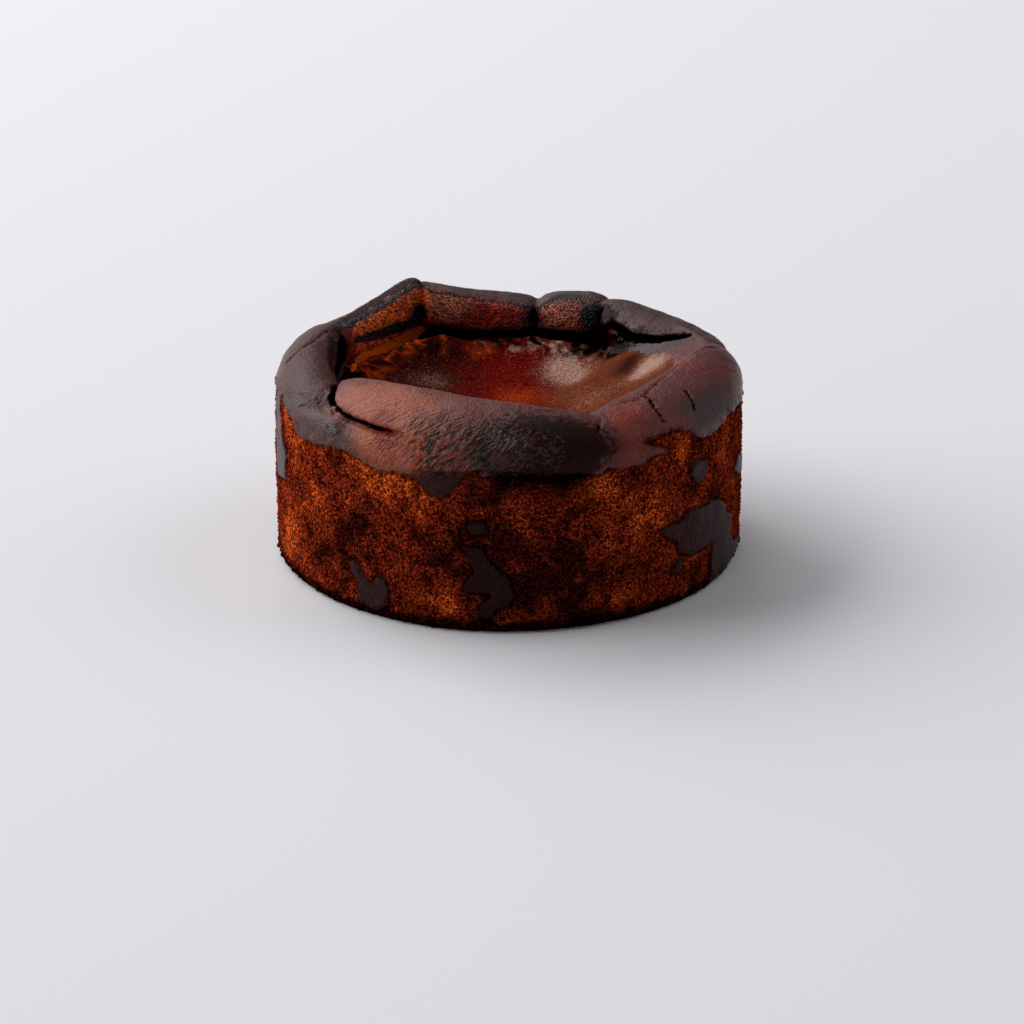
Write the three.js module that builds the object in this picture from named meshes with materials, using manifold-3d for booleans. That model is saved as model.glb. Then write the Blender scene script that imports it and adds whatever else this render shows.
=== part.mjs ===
// A whole burnt Basque cheesecake, 152 mm across, standing on its flat base.
//
// It is one solid: a straight crumb wall, a sunken middle, and round the rim the
// dark crust that rose above the tin and folded over into fat rolls. Each roll is
// a swollen pillow laid along the rim, fused to the cake, with a crease where two
// of them meet. The front is towards -Y and up is +Z. Lengths are millimetres and
// angles are degrees, counted anticlockwise from +X as seen from above.

import * as THREE from "three";
import { mergeVertices } from "three/addons/utils/BufferGeometryUtils.js";
import Module from "manifold-3d";

const wasm = await Module();
wasm.setup();

// ---------------------------------------------------------------- driving sizes

const CAKE_RADIUS = 76;
const BASE_EDGE = 2; // rounding where the wall meets the base
const WALL_TOP = 55; // the crumb wall ends about here and the crust begins
const SEAT_TOP = 61; // the shelf inside the rim that carries the rolls
const SEAT_INNER = 70; // that shelf reaches in to this radius
const SEAT_FOOT = 4; // width of the step from the shelf down into the basin
const SHOULDER = 5; // width of the rounding from the wall onto the shelf
const BASIN_FLOOR = 45.5; // lowest level of the sunken middle
const BASIN_REACH = 50; // by this radius its floor has climbed
const BASIN_CLIMB = 3.5; // this much
const BASIN_CURVE = 2.2; // slowly at first: the power of that climb
const WALL_WAVER = 0.7; // the wall is out of round by this much
const WALL_BELLY = 0.5; // and swells by this much between base and crust
const WAVES = [
  { share: 0.5, times: 2, phase: 0.6 },
  { share: 0.3, times: 4, phase: 2 },
  { share: 0.2, times: 6, phase: 0 },
];

// Facets.
const AROUND = 96;
const WALL_RINGS = 6;
const TOP_RINGS = 20;
const ROLL_RINGS = 22;
const ROLL_SIDES = 18;

// Banks that climb from the basin to the rim: over the sector round a bearing,
// the ground rises by lift between the radii foot and top.
const BANKS = [
  { bearing: 345, half: 42, soft: 30, lift: 13.5, foot: 12, top: 58 },
  { bearing: 250, half: 45, soft: 24, lift: 11, foot: 36, top: 54 },
  { bearing: 188, half: 20, soft: 14, lift: 8, foot: 46, top: 60 },
];

// Ripples that follow the rim, round the radius at: the torn edge and the groove
// in front of the back rolls, and the ledge below the back left one.
const RIPPLES = [
  { bearing: 88, half: 38, soft: 16, lift: 2.2, at: 53, wide: 5 },
  { bearing: 88, half: 38, soft: 16, lift: -2.5, at: 63, wide: 4 },
  { bearing: 138, half: 22, soft: 14, lift: 4, at: 53, wide: 5 },
];

// Two shallow dents side by side where the middle climbs to the right.
const DENTS = [
  { x: 22, y: 29, deep: 1.6, wide: 12 },
  { x: 47, y: 22, deep: 3, wide: 13 },
];

// Rolls of crust, front first. A list of three is the value at the start, the
// middle and the end of the roll. ridge is the radius of its highest line and
// crest the height of that line; out and inner are how far it swells to each
// side of the ridge, up and down how far above and below its widest level. box
// squares its section from 2, round, upwards, and blunt does so to its ends.
const ROLLS = {
  front: {
    from: 206, to: 301,
    ridge: [57.5, 53.5, 64], crest: [69, 70.3, 66.2],
    out: [11, 21.8, 12], inner: [6, 8, 7],
    up: [8, 12, 10.5], down: [7, 8, 7],
    box: 2.3, blunt: 5.5,
  },
  front_under: {
    from: 196, to: 262,
    ridge: [65, 66, 67], crest: [61, 60.5, 58.5],
    out: [10.4, 9.6, 8], inner: [9, 8, 8],
    up: [7, 6, 5], down: [6, 6, 6],
    box: 2.4, blunt: 3,
  },
  right: {
    from: 289, to: 375,
    ridge: [62.5, 55.5, 68], crest: [66.2, 66.8, 66.5],
    out: [13.5, 20.5, 8], inner: [7, 8, 6],
    up: [10, 11, 10], down: [7, 8, 7],
    box: 2.2, blunt: 5.5,
  },
  back_right: {
    from: 13, to: 63,
    ridge: [69, 67.5, 68], crest: [64.5, 63.6, 66],
    out: [6.8, 8.3, 7.6], inner: [14, 17, 8],
    up: [5, 6, 7], down: [3, 3.5, 6],
    box: 2.1, blunt: 4.5,
  },
  back_short: {
    from: 61, to: 82,
    ridge: [67.5, 67.5, 67.5], crest: [65, 64.6, 63],
    out: [8, 8.3, 8.3], inner: [7.5, 8, 7.5],
    up: [6.5, 6.5, 6], down: [6, 6.5, 6],
    box: 3, blunt: 4.5,
  },
  back_long: {
    from: 82, to: 117,
    ridge: [67.5, 67.5, 68], crest: [62.6, 64.2, 71],
    out: [8.3, 8.3, 7.6], inner: [7.5, 7.5, 7.5],
    up: [6, 6.5, 8.5], down: [6.5, 7, 7],
    box: 3.2, blunt: 6,
  },
  back_left: {
    from: 115.5, to: 153,
    ridge: [69.5, 69.5, 68], crest: [73, 64, 64.6],
    out: [6, 6, 7], inner: [6, 5.5, 6],
    up: [8.5, 6.5, 6], down: [7.5, 6.5, 6.5],
    box: 3, blunt: 6,
  },
  left: {
    from: 146, to: 213,
    ridge: [67, 64.5, 65], crest: [66.6, 67, 64.5],
    out: [8.7, 11.3, 10.5], inner: [7, 9, 8],
    up: [9, 12, 10], down: [7, 7, 7],
    box: 2.1, blunt: 4,
  },
};

// ---------------------------------------------------------------- small helpers

const RAD = Math.PI / 180;

// The signed gap from one bearing to another, from -180 to 180 degrees.
const bearingGap = (angle, other) => ((angle - other + 540) % 360) - 180;

// 0 below low, 1 above high, and a smooth rise between.
const rise = (low, high, value) => THREE.MathUtils.smoothstep(value, low, high);

// 1 round a bearing, falling to 0 over the soft margin outside the half width.
const sector = (angle, { bearing, half, soft }) =>
  1 - rise(half, half + soft, Math.abs(bearingGap(angle, bearing)));

// A rounded ridge of height 1 across a line at the centre value.
const hump = (value, centre, width) => Math.exp(-(((value - centre) / width) ** 2));

// The quadratic through a start, a middle and an end value.
const through = ([start, middle, end], t) =>
  start * (1 - t) * (1 - 2 * t) + 4 * middle * t * (1 - t) + end * t * (2 * t - 1);

// A cosine or sine pulled towards a square corner: 2 leaves it round.
const squared = (value, box) => Math.sign(value) * Math.abs(value) ** (2 / box);

// Moves every vertex of a geometry by a function of its place.
function reshape(geometry, place) {
  const position = geometry.getAttribute("position");
  const vertex = new THREE.Vector3();
  for (let i = 0; i < position.count; i += 1) {
    vertex.fromBufferAttribute(position, i);
    position.setXYZ(i, ...place(vertex));
  }
  return geometry;
}

// A closed three.js geometry as a manifold solid.
function solidFrom(geometry) {
  const bare = new THREE.BufferGeometry();
  bare.setAttribute("position", geometry.getAttribute("position"));
  bare.setIndex(geometry.getIndex());
  const merged = mergeVertices(bare, 1e-3);
  const corners = merged.index.array;
  const kept = [];
  for (let i = 0; i < corners.length; i += 3) {
    const [a, b, c] = corners.slice(i, i + 3);
    if (a !== b && b !== c && c !== a) kept.push(a, b, c);
  }
  return new wasm.Manifold(
    new wasm.Mesh({
      numProp: 3,
      vertProperties: merged.getAttribute("position").array,
      triVerts: new Uint32Array(kept),
    }),
  );
}

// ---------------------------------------------------------------- cake body

// Height of the sunken middle, and of what climbs from it towards the rim.
function basinHeight(x, y) {
  const radius = Math.hypot(x, y);
  const angle = Math.atan2(y, x) / RAD;
  const bowl = BASIN_FLOOR + BASIN_CLIMB * (radius / BASIN_REACH) ** BASIN_CURVE;
  const banks = BANKS.map((bank) => bank.lift * sector(angle, bank) * rise(bank.foot, bank.top, radius));
  const dents = DENTS.map((dent) => dent.deep * hump(Math.hypot(x - dent.x, y - dent.y), 0, dent.wide));
  const ripples = RIPPLES.map((ripple) => {
    return ripple.lift * sector(angle, ripple) * hump(radius, ripple.at, ripple.wide);
  });
  const rippled = ripples.reduce((sum, ripple) => sum + ripple, 0);
  return bowl + Math.max(...banks) + rippled - Math.max(...dents);
}

// Height of the bare top under the rolls: the basin, and the shelf round it that
// rounds over into the wall.
function topHeight(x, y) {
  const radius = Math.hypot(x, y);
  const overShoulder = Math.max(0, radius - CAKE_RADIUS + SHOULDER) / SHOULDER;
  const rounding = Math.sqrt(Math.max(0, 1 - overShoulder ** 2));
  const shelf = THREE.MathUtils.lerp(WALL_TOP, SEAT_TOP, rounding);
  const onShelf = rise(SEAT_INNER - SEAT_FOOT, SEAT_INNER, radius);
  return THREE.MathUtils.lerp(basinHeight(x, y), shelf, onShelf);
}

// The crumb wall isn't quite round, and bellies a little between base and crust.
function wallRadius(height, angle) {
  const waver = WAVES.reduce((sum, { share, times, phase }) => {
    return sum + share * Math.sin(times * angle + phase);
  }, 0);
  const belly = Math.sin((Math.PI * height) / SEAT_TOP);
  return CAKE_RADIUS - WALL_BELLY + WALL_WAVER * waver + WALL_BELLY * belly;
}

// Heights on the wall are even; radii on the top crowd towards the rim.
function cakeBody() {
  const profile = [
    [0, 0],
    [CAKE_RADIUS / 2, 0],
    [CAKE_RADIUS - BASE_EDGE, 0],
  ];
  for (let i = 0; i <= WALL_RINGS; i += 1) {
    profile.push([CAKE_RADIUS, THREE.MathUtils.lerp(BASE_EDGE, WALL_TOP - 1, i / WALL_RINGS)]);
  }
  for (let i = 1; i <= TOP_RINGS; i += 1) {
    profile.push([CAKE_RADIUS * (1 - (i / (TOP_RINGS + 1)) ** 1.5), SEAT_TOP]);
  }
  profile.push([0, SEAT_TOP]);
  const outline = profile.map(([radius, height]) => new THREE.Vector2(radius, height));
  const lathe = new THREE.LatheGeometry(outline, AROUND).rotateX(Math.PI / 2);
  return reshape(lathe, ({ x, y, z }) => {
    const scale = wallRadius(z, Math.atan2(y, x)) / CAKE_RADIUS;
    return [x * scale, y * scale, z > WALL_TOP ? topHeight(x, y) : z];
  });
}

// ---------------------------------------------------------------- rolls of crust

// A ball stretched along the rim: its poles are the roll's ends, and each ring
// between them is the roll's section there. The girth falls to nothing at the ends.
function crustRoll(roll) {
  const ball = new THREE.SphereGeometry(1, ROLL_SIDES, ROLL_RINGS);
  return reshape(ball, ({ x, y, z }) => {
    const along = THREE.MathUtils.clamp(y, -1, 1);
    const girth = (1 - Math.abs(along) ** roll.blunt) ** (1 / roll.blunt);
    const turn = Math.atan2(z, x);
    const sideways = squared(Math.cos(turn), roll.box);
    const upwards = squared(Math.sin(turn), roll.box);
    const t = (1 + along) / 2;
    const swell = through(sideways > 0 ? roll.out : roll.inner, t);
    const lift = through(upwards > 0 ? roll.up : roll.down, t);
    const middle = through(roll.crest, t) - through(roll.up, t);
    const radius = through(roll.ridge, t) + girth * sideways * swell;
    const height = middle + girth * upwards * lift;
    const angle = THREE.MathUtils.lerp(roll.from, roll.to, t) * RAD;
    return [radius * Math.cos(angle), radius * Math.sin(angle), height];
  });
}

// ---------------------------------------------------------------- the cake

let fused = solidFrom(cakeBody());
for (const roll of Object.values(ROLLS)) {
  fused = fused.add(solidFrom(crustRoll(roll)));
}

// Pockets that the rolls seal, and scraps, are separate shells: the cake is the largest.
const shells = fused.decompose().sort((one, other) => other.volume() - one.volume());
const { vertProperties, triVerts } = shells[0].getMesh();
const cakeShape = new THREE.BufferGeometry();
cakeShape.setAttribute("position", new THREE.BufferAttribute(vertProperties, 3));
cakeShape.setIndex(new THREE.BufferAttribute(triVerts, 1));
cakeShape.computeVertexNormals();

const burntCrust = new THREE.MeshStandardMaterial({
  color: 0x4a1d10,
  roughness: 0.55,
  metalness: 0,
});

const cheesecake = new THREE.Mesh(cakeShape, burntCrust);
cheesecake.name = "cheesecake";

const cake = new THREE.Group();
cake.add(cheesecake);

export default cake;
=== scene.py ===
import math

import bmesh
import bpy
import numpy as np
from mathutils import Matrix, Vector, noise


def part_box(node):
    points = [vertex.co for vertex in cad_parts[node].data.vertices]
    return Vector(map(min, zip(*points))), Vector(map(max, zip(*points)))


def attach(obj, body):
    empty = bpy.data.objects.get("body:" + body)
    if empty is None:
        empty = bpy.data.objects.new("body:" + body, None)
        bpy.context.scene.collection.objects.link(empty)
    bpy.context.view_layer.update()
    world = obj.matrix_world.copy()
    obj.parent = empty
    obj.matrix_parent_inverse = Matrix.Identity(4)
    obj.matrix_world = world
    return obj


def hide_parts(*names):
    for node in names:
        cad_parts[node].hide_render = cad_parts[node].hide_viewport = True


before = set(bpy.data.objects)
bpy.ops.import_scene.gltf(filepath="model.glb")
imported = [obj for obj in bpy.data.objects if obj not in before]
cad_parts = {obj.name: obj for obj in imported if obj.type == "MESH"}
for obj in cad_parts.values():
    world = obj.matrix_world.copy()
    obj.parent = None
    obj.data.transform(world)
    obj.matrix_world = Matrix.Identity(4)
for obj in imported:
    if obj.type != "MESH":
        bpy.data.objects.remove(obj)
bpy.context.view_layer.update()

# A basque cheesecake: burnt crust rolled in over a sunken glossy middle, and a bare crumb wall
# with scraps of skin left on it. Lengths are in millimetres of cake. Bearings are in degrees,
# anticlockwise from +X seen from above, and the front faces -Y. A reach is a distance from the
# cake's upright middle line.

SOLID_WIDTH = 152.76            # the solid's width, which ties a millimetre to the frame
LOW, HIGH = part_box("cheesecake")
MM = (HIGH.x - LOW.x) / SOLID_WIDTH

# ---- sizes shared with the solid

RADIUS = 76
BASE_EDGE = 2
WALL_TOP = 55
SEAT_TOP = 61
SEAT_INNER = 70
SEAT_FOOT = 4
SHOULDER = 5
BASIN_FLOOR = 45.5
BASIN_REACH = 50
BASIN_CLIMB = 3.5
BASIN_CURVE = 2.2
WALL_WAVER = 0.7
WALL_BELLY = 0.5
WAVES = [(0.5, 2, 0.6), (0.3, 4, 2.0), (0.2, 6, 0.0)]       # share, times round, phase

# Banks that climb from the basin: bearing, half their spread, how far they soften past it, lift,
# and the reaches where they start and end.
BANKS = [(345, 42, 30, 13.5, 12, 58), (250, 45, 24, 11, 36, 54), (188, 20, 14, 8, 46, 60)]
# Ripples round it: bearing, half their spread, softening, lift, reach and width.
RIPPLES = [(88, 38, 16, 2.2, 53, 5), (88, 38, 16, -2.5, 63, 4), (138, 22, 14, 4, 53, 5)]
# Dents in it: x, y, depth and width.
DENTS = [(22, 29, 1.6, 12), (47, 22, 3, 13)]

# Each roll of crust: bearings from and to, how boxed its section is and how blunt its ends, then
# for its start, middle and end the reach of its ridge, the height of its crest, and how far it
# swells outwards, inwards, up and down.
ROLL_FORM = ("from", "to", "box", "blunt", "ridge", "crest", "out", "inner", "up", "down")
ROLLS = {
    "front": (
        206, 301, 2.3, 5.5, (57.5, 53.5, 64), (69, 70.3, 66.2), (11, 21.8, 12), (6, 8, 7), (8, 12, 10.5),
        (7, 8, 7),
    ),
    "front_under": (
        196, 262, 2.4, 3, (65, 66, 67), (61, 60.5, 58.5), (10.4, 9.6, 8), (9, 8, 8), (7, 6, 5), (6, 6, 6),
    ),
    "right": (
        289, 375, 2.2, 5.5, (62.5, 55.5, 68), (66.2, 66.8, 66.5), (13.5, 20.5, 8), (7, 8, 6), (10, 11, 10),
        (7, 8, 7),
    ),
    "back_right": (
        13, 63, 2.1, 4.5, (69, 67.5, 68), (64.5, 63.6, 66), (6.8, 8.3, 7.6), (14, 17, 8), (5, 6, 7),
        (3, 3.5, 6),
    ),
    "back_short": (
        61, 82, 3, 4.5, (67.5, 67.5, 67.5), (65, 64.6, 63), (8, 8.3, 8.3), (7.5, 8, 7.5), (6.5, 6.5, 6),
        (6, 6.5, 6),
    ),
    "back_long": (
        82, 117, 3.2, 6, (67.5, 67.5, 68), (62.6, 64.2, 71), (8.3, 8.3, 7.6), (7.5, 7.5, 7.5),
        (6, 6.5, 8.5), (6.5, 7, 7),
    ),
    "back_left": (
        115.5, 153, 3, 6, (69.5, 69.5, 68), (73, 64, 64.6), (6, 6, 7), (6, 5.5, 6), (8.5, 6.5, 6),
        (7.5, 6.5, 6.5),
    ),
    "left": (
        146, 213, 2.1, 4, (67, 64.5, 65), (66.6, 67, 64.5), (8.7, 11.3, 10.5), (7, 9, 8), (9, 12, 10),
        (7, 7, 7),
    ),
}
ROLLS = {name: dict(zip(ROLL_FORM, form)) for name, form in ROLLS.items()}

# ---- sizes of the fine surface

AROUND = 360
WALL_RINGS = 30
TOP_RINGS = 90
RING_SPACING = 1.3              # above 1 the rings crowd towards the rim
ROLL_SIDES = 72
ROLL_RINGS = 180
BLADE_SIDES = 20
BLADE_RINGS = 90
BLADE_STEPS = 200
VOXEL = 0.72                    # grid that welds body, rolls and clefts into one skin
MOST_TRIANGLES = 192000

# Deep splits cut into the crust: points as (bearing, reach, height), the split's width and
# depth, and the way in, as (outwards, up).
CLEFTS = {
    "left_lobe_end": ([
        (196, 55, 57), (204, 58.5, 62.5), (208, 61.5, 65.5), (211, 64.5, 65.5), (215, 68, 62.5),
    ], 2.4, 11, (-0.35, -1)),
    "under_front_roll": ([
        (211, 66, 64.6), (218, 68.8, 62.8), (223.4, 70, 62.4), (228.5, 70.8, 62.5), (233.3, 71.6, 62.2),
        (239, 72.4, 62.4), (244, 73.4, 62.8),
    ], 2, 6, (-1, 0.35)),
    "slit_left": ([(116.8, 61, 49), (117, 61, 58), (116.6, 62.5, 70)], 1.8, 6, (1, 0)),
    "slit_middle": ([(82, 59, 49), (82, 59.5, 56), (82.6, 61.5, 62.5)], 1.8, 6, (1, 0)),
    "slit_right": ([(60.5, 57.5, 50), (59.5, 58, 58), (61, 62, 65)], 3, 8, (1, 0)),
    "under_back_rolls": ([
        (118, 63, 51), (104, 62, 50.2), (90, 61.5, 49.8), (75, 61.5, 50), (62, 61.5, 51),
    ], 2.6, 7, (1, -0.1)),
    "under_back_lobe": ([
        (54, 57.5, 60), (47, 55.5, 59.6), (40, 54, 59.2), (33, 55, 60), (27.5, 57.5, 60.9),
        (24.5, 62, 61.9), (22.5, 66, 62.8),
    ], 3.6, 10, (1, -0.4)),
    "hole_by_left_lobe": ([
        (160, 56.5, 55.5), (170, 56, 56), (180, 56, 56.5), (196, 56.5, 58),
    ], 5.5, 11, (0.3, -1)),
}


# ---- plain sums

def rise(low, high, value):
    """0 below low, 1 above high, and a smooth step between."""
    t = np.clip((value - low) / (high - low), 0, 1)
    return t * t * (3 - 2 * t)


def gap(bearing, other):
    """Signed difference of two bearings, in -180..180."""
    return (bearing - other + 540) % 360 - 180


def hump(value, centre, wide):
    return np.exp(-(((value - centre) / wide) ** 2))


def sector(bearing, middle, half, soft):
    """1 within half of a middle bearing, 0 beyond soft more."""
    return 1 - rise(half, half + soft, abs(gap(bearing, middle)))


def through(three, t):
    """A curve through a start, middle and end value."""
    start, middle, end = three
    return start * (1 - t) * (1 - 2 * t) + 4 * middle * t * (1 - t) + end * t * (2 * t - 1)


def squared(value, box):
    """A cosine or sine pulled towards a square corner: 2 leaves it round."""
    return np.sign(value) * np.abs(value) ** (2 / box)


def unit(arrows):
    return arrows / np.linalg.norm(arrows, axis=1)[:, None]


def polar(points):
    """Bearing, reach and height of points."""
    x, y, z = points.T
    return np.degrees(np.arctan2(y, x)) % 360, np.hypot(x, y), z


def place(bearing, reach, height):
    """Points from bearings, reaches and heights."""
    angle = np.radians(bearing)
    return np.stack([reach * np.cos(angle), reach * np.sin(angle), height], axis=-1)


def bumps(points, size, seed=0):
    """A smooth random field, about -1 to 1, with features about size across."""
    shifted = points / size + np.array([17.3, -8.1, 5.7]) * seed
    return np.array([noise.noise(p) for p in shifted.tolist()])


def uneven(points, *fields):
    """Random fields added up, each a strength, a size and a seed."""
    return sum(strength * bumps(points, size, seed) for strength, size, seed in fields)


# ---- mesh handling

def linked(name, data):
    made = bpy.data.objects.new(name, data)
    bpy.context.scene.collection.objects.link(made)
    return made


def finished_object(name, bm):
    """A new object at the origin from a bmesh."""
    mesh = bpy.data.meshes.new(name)
    bm.to_mesh(mesh)
    bm.free()
    return linked(name, mesh)


def triples(items, key):
    flat = np.empty(len(items) * 3, np.float32)
    items.foreach_get(key, flat)
    return flat.reshape(-1, 3).astype(float)


def corners(mesh):
    """Vertex places in millimetres."""
    return triples(mesh.vertices, "co") / MM


def set_corners(mesh, points):
    mesh.vertices.foreach_set("co", (points * MM).astype(np.float32).ravel())
    mesh.update()


def outward(mesh):
    return triples(mesh.vertex_normals, "vector")


def bake(piece):
    """Applies all of a piece's modifiers."""
    depsgraph = bpy.context.evaluated_depsgraph_get()
    mesh = bpy.data.meshes.new_from_object(piece.evaluated_get(depsgraph))
    piece.modifiers.clear()
    piece.data = mesh


# ---- the solid's forms, finely

def basin_height(x, y):
    """Height of the sunken middle, and of what climbs from it towards the rim."""
    reach = np.hypot(x, y)
    round_at = np.degrees(np.arctan2(y, x))
    bowl = BASIN_FLOOR + BASIN_CLIMB * (reach / BASIN_REACH) ** BASIN_CURVE
    banks = [lift * sector(round_at, *span) * rise(foot, top, reach) for *span, lift, foot, top in BANKS]
    dents = [deep * hump(np.hypot(x - at_x, y - at_y), 0, wide) for at_x, at_y, deep, wide in DENTS]
    ripples = [lift * sector(round_at, *span) * hump(reach, at, wide) for *span, lift, at, wide in RIPPLES]
    return bowl + np.max(banks, axis=0) + sum(ripples) - np.max(dents, axis=0)


def top_height(x, y):
    """Height of the bare top: the basin, and the shelf round it that rounds into the wall."""
    reach = np.hypot(x, y)
    over = np.maximum(0, reach - RADIUS + SHOULDER) / SHOULDER
    shelf = WALL_TOP + (SEAT_TOP - WALL_TOP) * np.sqrt(np.maximum(0, 1 - over**2))
    on_shelf = rise(SEAT_INNER - SEAT_FOOT, SEAT_INNER, reach)
    basin = basin_height(x, y)
    return basin + (shelf - basin) * on_shelf


def wall_radius(height, angle):
    """The wall isn't quite round, and bellies a little between base and crust."""
    waver = sum(share * np.sin(times * angle + phase) for share, times, phase in WAVES)
    belly = np.sin(math.pi * height / SEAT_TOP)
    return RADIUS - WALL_BELLY + WALL_WAVER * waver + WALL_BELLY * belly


def cake_body():
    """The cake without its rolls: a spun outline whose top is then sunk."""
    outline = [(0, 0), (RADIUS - BASE_EDGE, 0)]
    for i in range(WALL_RINGS + 1):
        outline.append((RADIUS, BASE_EDGE + (WALL_TOP - 1 - BASE_EDGE) * i / WALL_RINGS))
    for i in range(1, TOP_RINGS + 1):
        outline.append((RADIUS * (1 - (i / TOP_RINGS) ** RING_SPACING), SEAT_TOP))
    bm = bmesh.new()
    line = [bm.verts.new((reach * MM, 0, height * MM)) for reach, height in outline]
    edges = [bm.edges.new(pair) for pair in zip(line, line[1:])]
    bmesh.ops.spin(
        bm, geom=line + edges, cent=(0, 0, 0), axis=(0, 0, 1), angle=math.tau,
        steps=AROUND, use_merge=True,
    )
    bmesh.ops.remove_doubles(bm, verts=bm.verts, dist=1e-3 * MM)
    bmesh.ops.recalc_face_normals(bm, faces=bm.faces)
    body = finished_object("cake", bm)
    x, y, z = corners(body.data).T
    scale = wall_radius(z, np.arctan2(y, x)) / RADIUS
    sunk = np.where(z > WALL_TOP, top_height(x, y), z)
    set_corners(body.data, np.stack([x * scale, y * scale, sunk], axis=-1))
    return body


def ball(name, sides, rings):
    """A ball, with how far along and how far round it each vertex is."""
    bm = bmesh.new()
    bmesh.ops.create_uvsphere(bm, u_segments=sides, v_segments=rings, radius=MM)
    made = finished_object(name, bm)
    x, y, z = corners(made.data).T
    return made, np.clip(-z, -1, 1), np.arctan2(y, x)


def swells(roll, t, side, up):
    """How far a roll swells at t along it, to either side, and up or down."""
    sideways = np.where(side > 0, through(roll["out"], t), through(roll["inner"], t))
    return sideways, np.where(up > 0, through(roll["up"], t), through(roll["down"], t))


def crust_roll(name, roll):
    """A ball stretched along the rim, blunt at its ends, with a boxed section."""
    made, along, turn = ball(name, ROLL_SIDES, ROLL_RINGS)
    t = (1 + along) / 2
    girth = (1 - np.abs(along) ** roll["blunt"]) ** (1 / roll["blunt"])
    side = squared(np.cos(turn), roll["box"])
    up = squared(np.sin(turn), roll["box"])
    swell, lift = swells(roll, t, side, up)
    reach = through(roll["ridge"], t) + girth * side * swell
    height = through(roll["crest"], t) - through(roll["up"], t) + girth * up * lift
    bearing = roll["from"] + (roll["to"] - roll["from"]) * t
    set_corners(made.data, place(bearing, reach, height))
    return made


OFF_ROLL = 9.0                  # the depth given to points past a roll's ends


def roll_depth(points, roll):
    """How far out in a roll points lie: 0 on its middle line, 1 on its skin."""
    bearing, reach, height = polar(points)
    half = (roll["to"] - roll["from"]) / 2
    along = gap(bearing, roll["from"] + half) / half
    t = np.clip((1 + along) / 2, 0, 1)
    girth = np.clip(1 - np.abs(along) ** roll["blunt"], 1e-3, 1) ** (1 / roll["blunt"])
    side = reach - through(roll["ridge"], t)
    up = height - through(roll["crest"], t) + through(roll["up"], t)
    swell, lift = swells(roll, t, side, up)
    boxed = np.abs(side / swell) ** roll["box"] + np.abs(up / lift) ** roll["box"]
    return np.where(np.abs(along) < 1, boxed ** (1 / roll["box"]) / girth, OFF_ROLL)


def smooth_path(points, count):
    """Evenly numbered points on a smooth curve through a few."""
    knots = np.array(points, float)
    knots = np.vstack([2 * knots[0] - knots[1], knots, 2 * knots[-1] - knots[-2]])
    steps = np.linspace(0, len(points) - 1 - 1e-9, count)
    first = steps.astype(int)
    t = (steps - first)[:, None]
    a, b, c, d = (knots[first + i] for i in range(4))
    bend = t**2 * (a - 2.5 * b + 2 * c - d / 2)
    return b + t * (c - a) / 2 + bend + t**3 * (1.5 * (b - c) + (d - a) / 2)


def cleft_blade(name, cleft):
    """A thin leaf along a path, to be cut out of the crust."""
    path, thick, deep, (outwards, upwards) = cleft
    made, along, turn = ball(name, BLADE_SIDES, BLADE_RINGS)
    line = smooth_path(place(*np.array(path, float).T), BLADE_STEPS)
    at = (1 + along) / 2 * (BLADE_STEPS - 1)

    def drawn(values):
        return np.stack([np.interp(at, range(BLADE_STEPS), row) for row in values.T], axis=-1)

    centre = drawn(line)
    tangent = unit(drawn(np.gradient(line, axis=0)))
    way = unit(centre * (1, 1, 0)) * outwards + np.array([0, 0, 1]) * upwards
    way = unit(way - tangent * np.sum(way * tangent, axis=1)[:, None])
    girth = (1 - np.abs(along) ** 3) ** (1 / 3)
    wide = girth * np.cos(turn) * thick / 2
    sunk = girth * np.sin(turn) * deep / 2
    set_corners(made.data, centre + np.cross(tangent, way) * wide[:, None] + way * sunk[:, None])
    return made


def welded_cake():
    """Body and rolls joined, clefts cut out, and the whole skinned anew on a fine grid."""
    cake = cake_body()
    rolls = [crust_roll(name, roll) for name, roll in ROLLS.items()]
    blades = [cleft_blade(name, cleft) for name, cleft in CLEFTS.items()]
    for name, operation, pieces in (("rolls", "UNION", rolls), ("clefts", "DIFFERENCE", blades)):
        boolean = cake.modifiers.new(name, "BOOLEAN")
        boolean.operation = operation
        boolean.operand_type = "COLLECTION"
        boolean.collection = bpy.data.collections.new(name)
        for piece in pieces:
            boolean.collection.objects.link(piece)
        boolean.solver = "MANIFOLD"
    bake(cake)
    for piece in rolls + blades:
        bpy.data.objects.remove(piece)
    for name in ("rolls", "clefts"):
        bpy.data.collections.remove(bpy.data.collections[name])
    remesh = cake.modifiers.new("skin", "REMESH")
    remesh.mode = "VOXEL"
    remesh.voxel_size = VOXEL * MM
    bake(cake)
    return cake


# ---- what lies where

# Height of the crust's lower edge on the wall, round the cake.
CRUST_EDGE = [
    (0, 54.5), (14, 52), (28, 54), (45, 51.5), (60, 53.5), (78, 52), (95, 54.5), (112, 55.5), (128, 53),
    (145, 54.5), (160, 56.5), (175, 55), (188, 58), (196, 58), (204, 54.5), (210, 51.6), (222, 53.5),
    (228, 53.7), (233, 51.9), (238, 50.3), (246, 51), (251, 52.2), (259, 52.2), (263, 53.2), (271, 54.1),
    (282, 52.8), (290, 51.3), (298, 51.9), (305, 52.6), (310, 54.4), (314, 57), (318, 58.6), (322, 55.8),
    (327, 52.8), (332, 54.7), (340, 56.3), (350, 55),
]

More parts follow.
